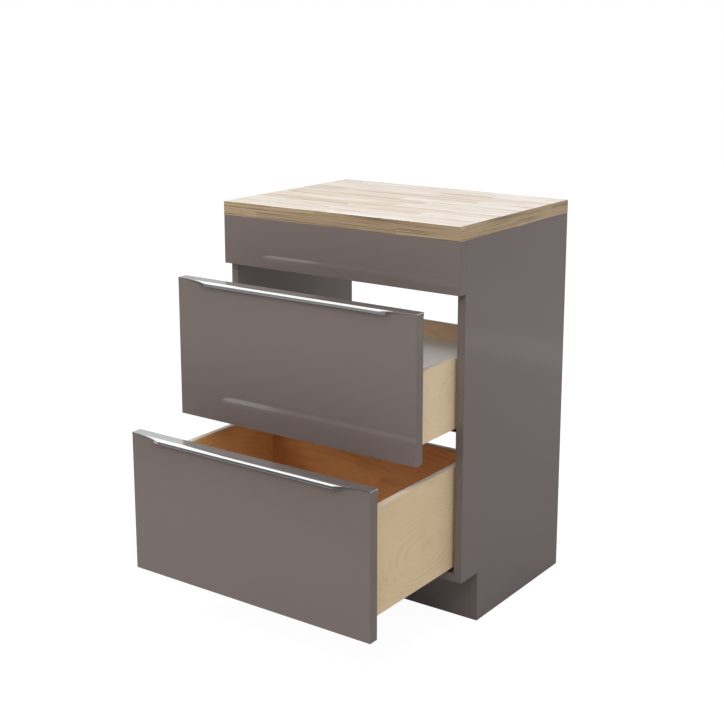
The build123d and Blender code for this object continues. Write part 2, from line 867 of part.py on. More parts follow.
write(all_pieces())
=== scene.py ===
"""Finishes, screws, light and camera of a vanity unit with a stave worktop and two drawers."""

import math
from typing import NamedTuple

import bmesh
import bpy
from mathutils import Matrix, Vector


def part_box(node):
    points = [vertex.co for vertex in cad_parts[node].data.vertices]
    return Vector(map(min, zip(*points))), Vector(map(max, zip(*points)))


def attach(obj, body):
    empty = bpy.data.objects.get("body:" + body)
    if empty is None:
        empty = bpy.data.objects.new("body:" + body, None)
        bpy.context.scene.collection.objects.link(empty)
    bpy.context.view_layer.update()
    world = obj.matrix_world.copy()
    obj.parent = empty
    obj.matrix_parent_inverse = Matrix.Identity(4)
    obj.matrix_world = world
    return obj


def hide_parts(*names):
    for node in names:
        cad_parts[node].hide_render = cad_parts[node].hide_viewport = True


bl_info = {
    "name": "Vanity unit finishes",
    "version": (1, 0, 0),
    "blender": (4, 5, 0),
    "location": "View3D > Sidebar > Vanity",
    "description": "Finishes the boards, metal and screws of a vanity unit and sets up its studio",
    "category": "Object",
}

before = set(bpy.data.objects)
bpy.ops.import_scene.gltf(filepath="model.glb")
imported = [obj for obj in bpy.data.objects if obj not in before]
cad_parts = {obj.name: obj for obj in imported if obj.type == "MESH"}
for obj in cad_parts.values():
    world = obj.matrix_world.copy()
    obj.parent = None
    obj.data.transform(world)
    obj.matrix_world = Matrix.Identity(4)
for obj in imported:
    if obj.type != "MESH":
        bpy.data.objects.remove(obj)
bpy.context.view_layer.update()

DRAWERS = ("upper_drawer", "lower_drawer")
GLOSS_BOARDS = (
    "left_side_panel",
    "right_side_panel",
    "front_fascia",
    "toe_kick_board",
    "upper_drawer_front",
    "lower_drawer_front",
)
CARCASS_BOARDS = ("bottom_panel", "front_top_rail", "back_top_rail", "back_base_rail")
RUNNER_SIDES = ("left", "right")
RUNNER_MEMBERS = ("channel", "slide", "cap")
FITTINGS = ("cam_fittings", "cam_bolts", "worktop_brackets")

# Axis that a board's grain runs along
GRAIN_X, GRAIN_Y = 0, 1
# Pith of the log that a drawer board was sawn from, in metres along the grain, upwards and
# through the board: upwards from the board's foot, along a wall from its front end, and
# otherwise from the middle of the unit
WALL_PITH = (0.2, 0.08, 0.06)
END_PITH = (-0.15, 0.1, -0.29)
# How many times longer than high the growth rings' arches are
WALL_RUN = 2.4
END_RUN = 5.0

# Height in metres that a fine pattern stands out by
RELIEF = 0.0001
# Corners of a CAD node's triangles that lie this close, in metres, are one corner
WELD = 1e-6

# Which way a group's screws point along each axis, where 0 is away from the unit's middle
TOWARDS_ROOM = (0.0, -1.0, 0.0)
UP_OR_OUT = (0.0, 0.0, 1.0)
# Turn in degrees from one screw's cross to the next one's, as nobody lines them up
SCREW_TURN = 37.0
# Corners of a screw head's rim are this far apart
RIM_STEP = math.radians(18.0)
# Form of a screw's cross, head and tip, as shares of the head's radius, its height or the shank
CROSS_ARM = 0.62
CROSS_WIDTH = 0.16
CROSS_DEPTH = 0.65
CROSS_TAPER = 0.8
CROWN_RADIUS = 0.72
SHOULDER_RADIUS = 0.93
SHOULDER_DROP = 0.22
BRIM_DROP = 0.55
TIP_RADIUS = 0.08

# Sockets of a Mix node, whose names repeat: its share, two values, two colours and its results
SHARE, VALUE_A, VALUE_B, COLOUR_A, COLOUR_B = 0, 2, 3, 6, 7
VALUE, COLOUR = 0, 2
# Size and range of a colour setting
RGBA = {"size": 4, "min": 0.0, "max": 1.0}


class ScrewSize(NamedTuple):
    """Sizes of a pan-head screw in metres."""

    head_radius: float
    head_height: float
    shank_radius: float


PLAIN_SCREW = ScrewSize(head_radius=0.004, head_height=0.0024, shank_radius=0.002)
SMALL_SCREW = ScrewSize(head_radius=0.0024, head_height=0.0012, shank_radius=0.0013)
FLAT_SCREW = ScrewSize(head_radius=0.0034, head_height=0.0018, shank_radius=0.002)


class Lamp(NamedTuple):
    """A soft square lamp, in metres and watts; a mirrored one shows in the gloss."""

    name: str
    place: tuple
    aim: tuple
    width: float
    power: float
    mirrored: bool


LAMPS = (
    Lamp("overhead_lamp", (0.3, -1.0, 2.8), (0.0, -0.1, 0.6), 2.0, 26.0, False),
    Lamp("left_softbox", (-2.0, -2.4, 2.3), (0.0, 0.0, 0.6), 1.8, 40.0, False),
    Lamp("mirror_card", (-2.1, -2.16, 1.17), (0.0, 0.0, 0.45), 0.7, 3.0, True),
    Lamp("right_softbox", (1.3, -2.3, 2.4), (0.0, 0.0, 0.5), 1.0, 18.0, False),
    Lamp("back_lamp", (0.5, 2.6, 2.1), (0.0, 0.1, 0.55), 2.0, 30.0, False),
)


def linear(colour):
    """Red, green, blue and alpha in linear light of an sRGB hex colour."""
    parts = [int(colour[i:i + 2], 16) / 255 for i in (1, 3, 5)]
    return [c / 12.92 if c <= 0.04045 else ((c + 0.055) / 1.055) ** 2.4 for c in parts] + [1.0]


class VANITY_PG_worktop(bpy.types.PropertyGroup):
    """Stave board of the worktop."""

    stave_width: bpy.props.FloatProperty(
        name="Stave width", description="Width of one stave on the top",
        default=0.043, min=0.01, unit="LENGTH")
    stave_length: bpy.props.FloatProperty(
        name="Stave length", description="Length of one stave along the worktop",
        default=0.36, min=0.05, unit="LENGTH")
    strip_height: bpy.props.FloatProperty(
        name="Edge strip height", description="Height of one glued strip on the edges",
        default=0.015, min=0.004, unit="LENGTH")
    streak_width: bpy.props.FloatProperty(
        name="Streak width", description="Width of the darker streaks on the top",
        default=0.005, min=0.001, unit="LENGTH")
    edge_streak_width: bpy.props.FloatProperty(
        name="Edge streak width", description="Width of the finer streaks on the edges",
        default=0.0024, min=0.0005, unit="LENGTH")
    pale: bpy.props.FloatVectorProperty(
        name="Pale wood", description="Lightest wood of the top",
        subtype="COLOR", **RGBA, default=linear("#e4dfd9"))
    tan: bpy.props.FloatVectorProperty(
        name="Tan wood", description="Streaks and darker staves of the top",
        subtype="COLOR", **RGBA, default=linear("#b0926b"))
    # Painted shade: the front and back edges are drawn darker than the top to stand in for the
    # shade on these upright faces. The ends are darker for their end grain and for that same
    # painted shade
    edge_pale_painted_shade: bpy.props.FloatVectorProperty(
        name="Pale edge", description="Lighter wood of the front and back edges",
        subtype="COLOR", **RGBA, default=linear("#a28d70"))
    edge_tan_painted_shade: bpy.props.FloatVectorProperty(
        name="Tan edge", description="Streaks of the front and back edges",
        subtype="COLOR", **RGBA, default=linear("#5f4831"))
    end_pale_grain_and_shade: bpy.props.FloatVectorProperty(
        name="Pale end", description="Lighter wood of the left and right ends",
        subtype="COLOR", **RGBA, default=linear("#bea684"))
    end_tan_grain_and_shade: bpy.props.FloatVectorProperty(
        name="Tan end", description="Streaks of the left and right ends",
        subtype="COLOR", **RGBA, default=linear("#71563b"))


class VANITY_PG_lacquer(bpy.types.PropertyGroup):
    """Gloss lacquer of the fronts and sides."""

    taupe: bpy.props.FloatVectorProperty(
        name="Taupe", description="Colour of the lacquer",
        subtype="COLOR", **RGBA, default=linear("#6e6461"))
    taupe_shade: bpy.props.FloatVectorProperty(
        name="Taupe shade", description="Slightly deeper tone that the lacquer drifts to",
        subtype="COLOR", **RGBA, default=linear("#6b615d"))
    melamine: bpy.props.FloatVectorProperty(
        name="Melamine", description="Colour of the satin boards inside",
        subtype="COLOR", **RGBA, default=linear("#685d58"))
    peel_size: bpy.props.FloatProperty(
        name="Ripple size", description="Width of the faint ripples that spraying leaves",
        default=0.014, min=0.001, unit="LENGTH")


class VANITY_PG_drawer_boards(bpy.types.PropertyGroup):
    """Boards of the drawer boxes."""

    maple: bpy.props.FloatVectorProperty(
        name="Maple", description="Light wood of the lower drawer's boards",
        subtype="COLOR", **RGBA, default=linear("#dbc39e"))
    maple_figure: bpy.props.FloatVectorProperty(
        name="Maple figure", description="Darker lines of the grain on the lower drawer",
        subtype="COLOR", **RGBA, default=linear("#c7a984"))
    # Painted light: the upper drawer's boards are drawn paler than the lower drawer's to stand in
    # for the stronger light that falls on them
    pale_maple_painted_light: bpy.props.FloatVectorProperty(
        name="Pale maple", description="Paler boards of the upper drawer",
        subtype="COLOR", **RGBA, default=linear("#e6d0ac"))
    pale_maple_figure_painted_light: bpy.props.FloatVectorProperty(
        name="Pale maple figure", description="Darker lines of the grain on the upper drawer",
        subtype="COLOR", **RGBA, default=linear("#d3b890"))
    # Painted shade: the inside colours below are browner and warmer than the outside maple to stand
    # in for the dim, warm bounce light inside the boxes
    upper_inside_painted_shade: bpy.props.FloatVectorProperty(
        name="Upper inside", description="Browner wood inside the upper drawer",
        subtype="COLOR", **RGBA, default=linear("#eecaa5"))
    upper_inside_figure_painted_shade: bpy.props.FloatVectorProperty(
        name="Upper inside figure",
        description="Darker lines of the grain inside the upper drawer",
        subtype="COLOR", **RGBA, default=linear("#d4ae87"))
    inside: bpy.props.FloatVectorProperty(
        name="Inside", description="Warmer wood inside the lower drawer's ends",
        subtype="COLOR", **RGBA, default=linear("#e5a668"))
    inside_figure_painted_shade: bpy.props.FloatVectorProperty(
        name="Inside figure",
        description="Darker lines of the grain inside the lower drawer's ends",
        subtype="COLOR", **RGBA, default=linear("#b97b43"))
    # The lower drawer's walls are drawn lighter inside than its ends, as painted light for the
    # light that reaches them
    inside_wall_painted_shade: bpy.props.FloatVectorProperty(
        name="Inside wall", description="Warmer wood inside the lower drawer's walls",
        subtype="COLOR", **RGBA, default=linear("#f9c081"))
    inside_wall_figure_painted_shade: bpy.props.FloatVectorProperty(
        name="Inside wall figure",
        description="Darker lines of the grain inside the lower drawer's walls",
        subtype="COLOR", **RGBA, default=linear("#cf9459"))
    # The rim's colour is the edging's pale tone greyed with painted shade, standing in for the
    # shade along the rounded wall tops
    rim: bpy.props.FloatVectorProperty(
        name="Rim", description="Pale edging on top of the drawer walls",
        subtype="COLOR", **RGBA, default=linear("#c9bba8"))
    ring_spacing: bpy.props.FloatProperty(
        name="Ring spacing", description="Distance between growth rings across the board",
        default=0.006, min=0.002, unit="LENGTH")
    laminate: bpy.props.FloatVectorProperty(
        name="Laminate", description="Colour of the drawer floors",
        subtype="COLOR", **RGBA, default=linear("#e9e7e5"))


class VANITY_PG_metal(bpy.types.PropertyGroup):
    """Pulls, runners and fixings."""

    aluminium: bpy.props.FloatVectorProperty(
        name="Aluminium", description="Colour of the pulls",
        subtype="COLOR", **RGBA, default=linear("#e6e7e8"))
    polish_spacing: bpy.props.FloatProperty(
        name="Polishing lines", description="Distance between the polishing lines along a pull",
        default=0.0015, min=0.0002, unit="LENGTH")
    dark_zinc: bpy.props.FloatVectorProperty(
        name="Dark zinc", description="Colour of the runners",
        subtype="COLOR", **RGBA, default=linear("#97989a"))
    bright_zinc: bpy.props.FloatVectorProperty(
        name="Bright zinc", description="Colour of screws, cams and brackets",
        subtype="COLOR", **RGBA, default=linear("#c9cbcc"))
    spangle_size: bpy.props.FloatProperty(
        name="Spangle", description="Size of the zinc crystals on the runners",
        default=0.009, min=0.001, unit="LENGTH")


class VANITY_PG_small_parts(bpy.types.PropertyGroup):
    """Rollers, catches, bumpers and dowels."""

    nylon: bpy.props.FloatVectorProperty(
        name="Nylon", description="Colour of rollers and catches",
        subtype="COLOR", **RGBA, default=linear("#1d1d1f"))
    bumper: bpy.props.FloatVectorProperty(
        name="Bumper", description="Tint of the clear bumpers",
        subtype="COLOR", **RGBA, default=linear("#eef0ee"))
    beech: bpy.props.FloatVectorProperty(
        name="Beech", description="Colour of the dowels",
        subtype="COLOR", **RGBA, default=linear("#c99f73"))
    beech_fleck: bpy.props.FloatVectorProperty(
        name="Beech fleck", description="Flecks in the dowels",
        subtype="COLOR", **RGBA, default=linear("#a97c50"))


class VANITY_PG_studio(bpy.types.PropertyGroup):
    """Floor, light and camera."""

    camera_place: bpy.props.FloatVectorProperty(
        name="Camera place", description="Where the camera stands",
        size=3, subtype="TRANSLATION", unit="LENGTH", default=(1.5967, -2.2228, 1.2629))
    camera_turn: bpy.props.FloatProperty(
        name="Camera turn", description="How far the camera turns from straight ahead",
        default=math.radians(35.389), subtype="ANGLE")
    camera_tilt: bpy.props.FloatProperty(
        name="Camera tilt", description="How far the camera looks down",
        default=math.radians(12.076), subtype="ANGLE")
    lens: bpy.props.FloatProperty(
        name="Lens", description="Focal length in millimetres on a 36 mm wide sensor",
        default=65.937, min=10.0)
    lens_shift: bpy.props.FloatProperty(
        name="Lens shift", description="Upward shift of the lens as a share of the frame",
        default=-0.1)
    ambient: bpy.props.FloatProperty(
        name="Ambient", description="Strength of the even light from all round",
        default=0.54, min=0.0)
    white: bpy.props.FloatVectorProperty(
        name="White", description="Colour of the backdrop",
        subtype="COLOR", **RGBA, default=linear("#ffffff"))
    floor_paint: bpy.props.FloatVectorProperty(
        name="Floor paint", description="Pale colour of the floor",
        subtype="COLOR", **RGBA, default=linear("#ececec"))
    mirror_floor: bpy.props.FloatVectorProperty(
        name="Mirrored floor",
        description="Greyer floor near the object, which only the reflections show",
        subtype="COLOR", **RGBA, default=linear("#acacac"))
    room_floor: bpy.props.FloatVectorProperty(
        name="Room floor", description="Darker floor in front, which only the reflections show",
        subtype="COLOR", **RGBA, default=linear("#4a4a4a"))


def add(tree, kind, sockets=None, **settings):
    """Adds a shader node with its settings, and gives its sockets values or links."""
    made = tree.nodes.new("ShaderNode" + kind)
    for name, value in settings.items():
        setattr(made, name, value)
    for key, value in (sockets or {}).items():
        if isinstance(value, bpy.types.NodeSocket):
            tree.links.new(value, made.inputs[key])
        else:
            made.inputs[key].default_value = value
    return made


def blank(name):
    """A material of that name with an empty node tree."""
    material = bpy.data.materials.new(name)
    material.use_nodes = True
    material.node_tree.nodes.clear()
    return material, material.node_tree


def per_metre(size):
    """How often a pattern of that size in metres repeats in a metre, along each axis."""
    return tuple(1 / length for length in size)


def dress(names, material):
    """Gives CAD nodes a material."""
    for name in names:
        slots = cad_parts[name].data.materials
        slots.clear()
        slots.append(material)


def gloss_lacquer(settings):
    """High-gloss lacquer: sprayed on MDF and buffed, so it mirrors the room with a faint ripple."""
    drift_size = 0.35
    ripple_height = 0.00002
    material, tree = blank("gloss_taupe_lacquer")
    place = add(tree, "TexCoord").outputs["Object"]
    drift = add(
        tree, "TexNoise",
        {"Vector": place, "Scale": 1 / drift_size, "Detail": 1.0}).outputs["Fac"]
    tone = add(
        tree, "Mix", {SHARE: drift, COLOUR_A: settings.taupe, COLOUR_B: settings.taupe_shade},
        data_type="RGBA").outputs[COLOUR]
    peel = add(
        tree, "TexNoise",
        {"Vector": place, "Scale": 1 / settings.peel_size, "Detail": 1.0}).outputs["Fac"]
    ripple = add(tree, "Bump", {"Height": peel, "Strength": 0.5, "Distance": ripple_height})
    lacquer = add(tree, "BsdfPrincipled", {
        "Base Color": tone,
        "Roughness": 0.04,
        "IOR": 1.5,
        "Normal": ripple.outputs["Normal"],
    })
    add(tree, "OutputMaterial", {"Surface": lacquer.outputs["BSDF"]})
    return material


def satin_melamine(settings):
    """Melamine-faced board: a pressed paper face with a fine pebble, so it is satin and even."""
    drift_size = 0.25
    # The pebble is 0.3 mm on a real board and is drawn at 2 mm, so that it shows
    pebble_size = 0.002
    material, tree = blank("satin_taupe_melamine")
    place = add(tree, "TexCoord").outputs["Object"]
    drift = add(
        tree, "TexNoise",
        {"Vector": place, "Scale": 1 / drift_size, "Detail": 2.0}).outputs["Fac"]
    tone = add(
        tree, "Mix", {SHARE: drift, COLOUR_A: settings.melamine, COLOUR_B: settings.taupe_shade},
        data_type="RGBA").outputs[COLOUR]
    pebble = add(
        tree, "TexNoise",
        {"Vector": place, "Scale": 1 / pebble_size, "Detail": 2.0}).outputs["Fac"]
    relief = add(tree, "Bump", {"Height": pebble, "Strength": 0.25, "Distance": RELIEF})
    melamine = add(tree, "BsdfPrincipled", {
        "Base Color": tone,
        "Roughness": 0.38,
        "IOR": 1.5,
        "Normal": relief.outputs["Normal"],
    })
    add(tree, "OutputMaterial", {"Surface": melamine.outputs["BSDF"]})
    return material


def stave_board(settings, foot):
    """Oiled stave board: sawn staves glued side by side, each with its own tone and streaks."""
    # A face that looks this much up or down is the top, and this much sideways an end
    top_facing, end_facing = 0.5, 0.6
    # Staves show places of the pattern that are up to this far apart, so that none repeats
    stave_shift = 3.0
    streak_length = 0.2
    # Pores are 0.2 mm wide in the wood and are drawn at 1.2 mm, so that they show
    pore_size = (0.03, 0.0012, 1.0)
    own_tone_share, pore_share = 0.4, 0.35
    material, tree = blank("oiled_stave_board")
    coords = add(tree, "TexCoord").outputs
    x, y, z = add(tree, "SeparateXYZ", {0: coords["Object"]}).outputs
    out_x, _, out_z = add(tree, "SeparateXYZ", {0: coords["Normal"]}).outputs
    flat_z = add(tree, "Math", {0: out_z}, operation="ABSOLUTE").outputs[0]
    flat_x = add(tree, "Math", {0: out_x}, operation="ABSOLUTE").outputs[0]
    on_top = add(tree, "Math", {0: flat_z, 1: top_facing}, operation="GREATER_THAN").outputs[0]
    on_end = add(tree, "Math", {0: flat_x, 1: end_facing}, operation="GREATER_THAN").outputs[0]
    along = add(
        tree, "Mix", {SHARE: on_end, VALUE_A: x, VALUE_B: y},
        data_type="FLOAT").outputs[VALUE]
    rise = add(tree, "Math", {0: z, 1: foot}, operation="SUBTRACT").outputs[0]
    across = add(
        tree, "Mix", {SHARE: on_top, VALUE_A: rise, VALUE_B: y},
        data_type="FLOAT").outputs[VALUE]
    width = add(
        tree, "Mix",
        {SHARE: on_top, VALUE_A: settings.strip_height, VALUE_B: settings.stave_width},
        data_type="FLOAT").outputs[VALUE]
    rows = add(tree, "Math", {0: across, 1: width}, operation="DIVIDE").outputs[0]
    row = add(tree, "Math", {0: rows}, operation="FLOOR").outputs[0]
    start = add(tree, "TexWhiteNoise", {"W": row}, noise_dimensions="1D").outputs["Value"]
    staves = add(
        tree, "Math", {0: along, 1: 1 / settings.stave_length, 2: start},
        operation="MULTIPLY_ADD").outputs[0]
    stave = add(tree, "Math", {0: staves}, operation="FLOOR").outputs[0]
    key = add(tree, "CombineXYZ", {"X": row, "Y": stave, "Z": on_top}).outputs[0]
    own = add(tree, "TexWhiteNoise", {"Vector": key}, noise_dimensions="3D").outputs
    lengthwise = add(tree, "CombineXYZ", {"X": along, "Y": across}).outputs[0]
    moved = add(
        tree, "VectorMath", {0: own["Color"], 1: (stave_shift,) * 3, 2: lengthwise},
        operation="MULTIPLY_ADD").outputs[0]
    fine = add(
        tree, "Mix", {
            SHARE: on_top, VALUE_A: 1 / settings.edge_streak_width,
            VALUE_B: 1 / settings.streak_width},
        data_type="FLOAT").outputs[VALUE]
    stretch = add(tree, "CombineXYZ", {"X": 1 / streak_length, "Y": fine, "Z": 1.0}).outputs[0]
    streak_place = add(tree, "Mapping", {"Vector": moved, "Scale": stretch}).outputs[0]
    streaks = add(
        tree, "TexNoise",
        {"Vector": streak_place, "Scale": 1.0, "Detail": 3.0, "Roughness": 0.6}).outputs["Fac"]
    streak = add(
        tree, "MapRange", {"Value": streaks, "From Min": 0.5, "From Max": 0.7}).outputs[0]
    pore_place = add(
        tree, "Mapping", {"Vector": moved, "Scale": per_metre(pore_size)}).outputs[0]
    pores = add(
        tree, "TexNoise", {"Vector": pore_place, "Scale": 1.0, "Detail": 1.0}).outputs["Fac"]
    pore = add(tree, "MapRange", {"Value": pores, "From Min": 0.6, "From Max": 0.8}).outputs[0]
    wood = add(
        tree, "Math", {0: own["Value"], 1: own_tone_share, 2: streak},
        operation="MULTIPLY_ADD").outputs[0]
    depth = add(
        tree, "Math", {0: pore, 1: pore_share, 2: wood},
        operation="MULTIPLY_ADD", use_clamp=True).outputs[0]
    # The edges and ends take darker colours than the top: painted shade on the upright faces, and
    # on the ends also the darker end grain
    top_tone, edge_painted_shade_tone, end_grain_and_shade_tone = (
        add(
            tree, "Mix", {SHARE: depth, COLOUR_A: pale, COLOUR_B: tan},
            data_type="RGBA").outputs[COLOUR]
        for pale, tan in (
            (settings.pale, settings.tan),
            (settings.edge_pale_painted_shade, settings.edge_tan_painted_shade),
            (settings.end_pale_grain_and_shade, settings.end_tan_grain_and_shade)))
    sides_painted_shade_tone = add(
        tree, "Mix", {SHARE: on_end, COLOUR_A: edge_painted_shade_tone, COLOUR_B: end_grain_and_shade_tone},
        data_type="RGBA").outputs[COLOUR]
    tone = add(
        tree, "Mix", {SHARE: on_top, COLOUR_A: sides_painted_shade_tone, COLOUR_B: top_tone},
        data_type="RGBA").outputs[COLOUR]
    gloss = add(tree, "MapRange", {"Value": depth, "To Min": 0.36, "To Max": 0.5}).outputs[0]
    relief = add(
        tree, "Bump", {"Height": pore, "Strength": 0.3, "Distance": RELIEF}, invert=True)
    oiled_wood = add(tree, "BsdfPrincipled", {
        "Base Color": tone,
        "Roughness": gloss,
        "IOR": 1.47,
        "Normal": relief.outputs["Normal"],
    })
    add(tree, "OutputMaterial", {"Surface": oiled_wood.outputs["BSDF"]})
    return material


def maple_board(settings, name, grain, middle, pith, run, outside, inside):
    """Lacquered maple board: plain-sawn, so the rings show as long arches over a fine fleck."""
    # Rings change more slowly through the board than up it, by this factor
    ring_depth = 0.35
    # One turn of the wave texture takes this much of its own units
    wave_turn = 0.314
    line_sharpness = 4.0
    # Sizes along the grain, upwards and through the board
    patch_size = (0.12, 0.03, 0.1)
    fleck_size = (0.03, 0.002, 0.002)
    cloud_size = (0.09, 0.045, 0.2)
    patch_rough, fleck_rough, cloud_rough = 0.5, 0.6, 0.5
    line_share, fleck_share, cloud_share = 0.42, 0.4, 0.35
    # A face that looks towards the middle of the box by more than this is an inside face
    inside_limit = -0.05
    material, tree = blank(name)
    coords = add(tree, "TexCoord").outputs
    places = add(tree, "SeparateXYZ", {0: coords["Object"]}).outputs
    along = places[grain]
    aside = places[1 - grain]
    figure_place = add(tree, "CombineXYZ", {"X": along, "Y": places[2], "Z": aside}).outputs[0]
    from_pith = add(
        tree, "VectorMath", {0: figure_place, 1: pith}, operation="SUBTRACT").outputs[0]
    ring_place = add(
        tree, "Mapping", {"Vector": from_pith, "Scale": (1 / run, 1.0, ring_depth)}).outputs[0]
    arches = add(
        tree, "TexWave", {
            "Vector": ring_place, "Scale": wave_turn / settings.ring_spacing, "Distortion": 8.0,
            "Detail": 3.0, "Detail Scale": 0.3, "Detail Roughness": 0.6},
        wave_type="RINGS", rings_direction="SPHERICAL", wave_profile="SIN").outputs["Fac"]
    sharp = add(tree, "Math", {0: arches, 1: line_sharpness}, operation="POWER").outputs[0]
    patterns = []
    for size, roughness in (
            (patch_size, patch_rough), (fleck_size, fleck_rough), (cloud_size, cloud_rough)):
        place = add(tree, "Mapping", {"Vector": figure_place, "Scale": per_metre(size)}).outputs[0]
        pattern = add(
            tree, "TexNoise",
            {"Vector": place, "Scale": 1.0, "Detail": 2.0, "Roughness": roughness})
        patterns.append(pattern.outputs["Fac"])
    patches, fleck, clouds = patterns
    strong = add(
        tree, "MapRange", {"Value": patches, "From Min": 0.4, "From Max": 0.65}).outputs[0]
    line = add(tree, "Math", {0: sharp, 1: strong}, operation="MULTIPLY").outputs[0]
    cloud = add(tree, "MapRange", {"Value": clouds, "From Min": 0.5, "From Max": 0.8}).outputs[0]
    soft = add(tree, "Math", {0: cloud, 1: cloud_share}, operation="MULTIPLY").outputs[0]
    shade = add(
        tree, "Math", {0: line, 1: line_share, 2: soft}, operation="MULTIPLY_ADD").outputs[0]
    depth = add(
        tree, "Math", {0: fleck, 1: fleck_share, 2: shade},
        operation="MULTIPLY_ADD", use_clamp=True).outputs[0]
    # The inside colours, used on the faces inside the box, are painted shade
    outer, inner_painted_shade = (
        add(
            tree, "Mix", {SHARE: depth, COLOUR_A: wood, COLOUR_B: figure},
            data_type="RGBA").outputs[COLOUR]
        for wood, figure in (outside, inside))
    outward = add(
        tree, "VectorMath", {0: coords["Object"], 1: middle}, operation="SUBTRACT").outputs[0]
    level = add(
        tree, "VectorMath", {0: outward, 1: (1.0, 1.0, 0.0)}, operation="MULTIPLY").outputs[0]
    facing = add(
        tree, "VectorMath", {0: coords["Normal"], 1: level},
        operation="DOT_PRODUCT").outputs["Value"]
    # Faces inside the box take the painted-shade colours
    inward_face_painted_shade = add(tree, "Math", {0: facing, 1: inside_limit}, operation="LESS_THAN").outputs[0]
    faces = add(
        tree, "Mix", {SHARE: inward_face_painted_shade, COLOUR_A: outer, COLOUR_B: inner_painted_shade},
        data_type="RGBA").outputs[COLOUR]
    # Faces that look up take the rim colour, whose grey is partly painted shade
    up = add(tree, "SeparateXYZ", {0: coords["Normal"]}).outputs[2]
    painted_shade_rim = add(tree, "MapRange", {"Value": up, "From Min": 0.3, "From Max": 0.6}).outputs[0]
    tone = add(
        tree, "Mix", {SHARE: painted_shade_rim, COLOUR_A: faces, COLOUR_B: settings.rim},
        data_type="RGBA").outputs[COLOUR]
    gloss = add(tree, "MapRange", {"Value": depth, "To Min": 0.32, "To Max": 0.44}).outputs[0]
    relief = add(tree, "Bump", {"Height": fleck, "Strength": 0.12, "Distance": RELIEF})
    maple = add(tree, "BsdfPrincipled", {
        "Base Color": tone,
        "Roughness": gloss,
        "IOR": 1.48,
        "Normal": relief.outputs["Normal"],
    })
    add(tree, "OutputMaterial", {"Surface": maple.outputs["BSDF"]})
    return material


def grey_laminate(settings):
    """Decor laminate: printed paper under melamine, so it is satin with a fine grey speckle."""
    speckle_size = 0.003
    material, tree = blank("grey_decor_laminate")
    place = add(tree, "TexCoord").outputs["Object"]
    speckle = add(
        tree, "TexNoise",
        {"Vector": place, "Scale": 1 / speckle_size, "Detail": 3.0, "Roughness": 0.7},
    ).outputs["Fac"]
    tint = add(
        tree, "MapRange",
        {"Value": speckle, "From Min": 0.3, "From Max": 0.7, "To Min": 0.93, "To Max": 1.07},
    ).outputs[0]
    tone = add(
        tree, "VectorMath", {0: settings.laminate[:3], "Scale": tint},
        operation="SCALE").outputs[0]
    relief = add(tree, "Bump", {"Height": speckle, "Strength": 0.15, "Distance": RELIEF})
    laminate = add(tree, "BsdfPrincipled", {
        "Base Color": tone,
        "Roughness": 0.34,
        "IOR": 1.5,
        "Normal": relief.outputs["Normal"],
    })
    add(tree, "OutputMaterial", {"Surface": laminate.outputs["BSDF"]})
    return material


def polished_aluminium(settings):
    """Extruded aluminium: polished lengthways and clear anodised, so bright with faint lines."""
    # Polishing lines are 0.1 mm apart on the metal and are drawn at 1.5 mm, so that they show
    line_size = (0.25, settings.polish_spacing, settings.polish_spacing)
    material, tree = blank("polished_anodised_aluminium")
    place = add(tree, "TexCoord").outputs["Object"]
    drawn = add(tree, "Mapping", {"Vector": place, "Scale": per_metre(line_size)}).outputs[0]
    lines = add(tree, "TexNoise", {"Vector": drawn, "Scale": 1.0, "Detail": 2.0}).outputs["Fac"]
    gloss = add(
        tree, "MapRange",
        {"Value": lines, "From Min": 0.3, "From Max": 0.7, "To Min": 0.1, "To Max": 0.2},
    ).outputs[0]
    relief = add(tree, "Bump", {"Height": lines, "Strength": 0.08, "Distance": RELIEF})
    aluminium = add(tree, "BsdfPrincipled", {
        "Base Color": settings.aluminium,
        "Metallic": 1.0,
        "Roughness": gloss,
        "Normal": relief.outputs["Normal"],
    })
    add(tree, "OutputMaterial", {"Surface": aluminium.outputs["BSDF"]})
    return material


def zinc_steel(name, colour, spangle, rough):
    """Zinc-plated steel: rolled and plated, so it is soft metal with a crystal or cloudy bloom."""
    # How much smoother and rougher than the rest single crystals are
    smoother, rougher = 0.05, 0.07
    material, tree = blank(name)
    place = add(tree, "TexCoord").outputs["Object"]
    cells = add(tree, "TexVoronoi", {"Vector": place, "Scale": 1 / spangle}).outputs["Color"]
    bloom = add(tree, "SeparateColor", {0: cells}).outputs[0]
    tint = add(tree, "MapRange", {"Value": bloom, "To Min": 0.82, "To Max": 1.1}).outputs[0]
    tone = add(
        tree, "VectorMath", {0: colour[:3], "Scale": tint}, operation="SCALE").outputs[0]
    gloss = add(
        tree, "MapRange",
        {"Value": bloom, "To Min": rough - smoother, "To Max": rough + rougher}).outputs[0]
    steel = add(tree, "BsdfPrincipled", {
        "Base Color": tone,
        "Metallic": 1.0,
        "Roughness": gloss,
    })
    add(tree, "OutputMaterial", {"Surface": steel.outputs["BSDF"]})
    return material


def black_nylon(settings):
    """Moulded nylon: black with a fine spark-eroded grain, so its sheen is broken up."""
    # The grain is 0.1 mm on a real moulding and is drawn at 1.2 mm, so that it shows
    grain_size = 0.0012
    material, tree = blank("moulded_black_nylon")
    place = add(tree, "TexCoord").outputs["Object"]
    grain = add(
        tree, "TexNoise",
        {"Vector": place, "Scale": 1 / grain_size, "Detail": 2.0}).outputs["Fac"]
    gloss = add(tree, "MapRange", {"Value": grain, "To Min": 0.32, "To Max": 0.55}).outputs[0]
    relief = add(tree, "Bump", {"Height": grain, "Strength": 0.3, "Distance": RELIEF})
    nylon = add(tree, "BsdfPrincipled", {
        "Base Color": settings.nylon,
        "Roughness": gloss,
        "IOR": 1.53,
        "Normal": relief.outputs["Normal"],
    })
    add(tree, "OutputMaterial", {"Surface": nylon.outputs["BSDF"]})
    return material


